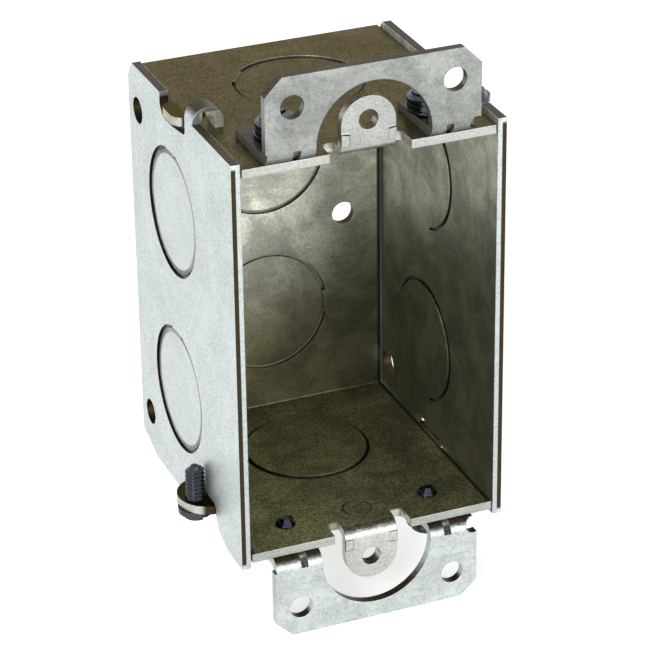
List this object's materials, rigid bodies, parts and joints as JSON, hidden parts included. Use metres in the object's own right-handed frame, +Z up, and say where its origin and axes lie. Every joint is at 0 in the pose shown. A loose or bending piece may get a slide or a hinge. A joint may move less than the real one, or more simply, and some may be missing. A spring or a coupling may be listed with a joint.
{
  "type": "electrical switch box",
  "caption": "Empty galvanised steel switch box, open at the front, with knockouts, removable side plates, two slotted plaster ears and screws.",
  "frame": {"origin": "midway between the two device screw holes, on the front face of the device tabs, where the switch's strap rests", "axes": "+X to the right as seen from the front, +Y into the box towards its back, +Z up"},
  "size_m": [0.0594, 0.0527, 0.1052],
  "materials": {
    "body_zinc": "dull galvanised steel",
    "side_zinc": "dull galvanised steel with fine specks",
    "ear_zinc": "mottled galvanised steel",
    "screw_zinc": "shiny zinc plate"
  },
  "bodies": {
    "box": {"box_body": "body_zinc", "left_side_plate": "side_zinc", "right_side_plate": "side_zinc", "upper_gang_screw": "screw_zinc", "lower_gang_screw": "screw_zinc", "top_ear_screw_left": "screw_zinc", "top_ear_screw_right": "screw_zinc", "bottom_ear_screw_left": "screw_zinc", "bottom_ear_screw_right": "screw_zinc"},
    "top_ear_slide": {"top_ear": "ear_zinc"},
    "bottom_ear_slide": {"bottom_ear": "ear_zinc"}
  },
  "joints": [
    {"name": "top_ear_travel", "type": "slide", "parent": "box", "child": "top_ear_slide", "axis": [0, 1, 0], "range_m": [-0.0021, 0.0025]},
    {"name": "bottom_ear_travel", "type": "slide", "parent": "box", "child": "bottom_ear_slide", "axis": [0, 1, 0], "range_m": [-0.0021, 0.0025]}
  ]
}
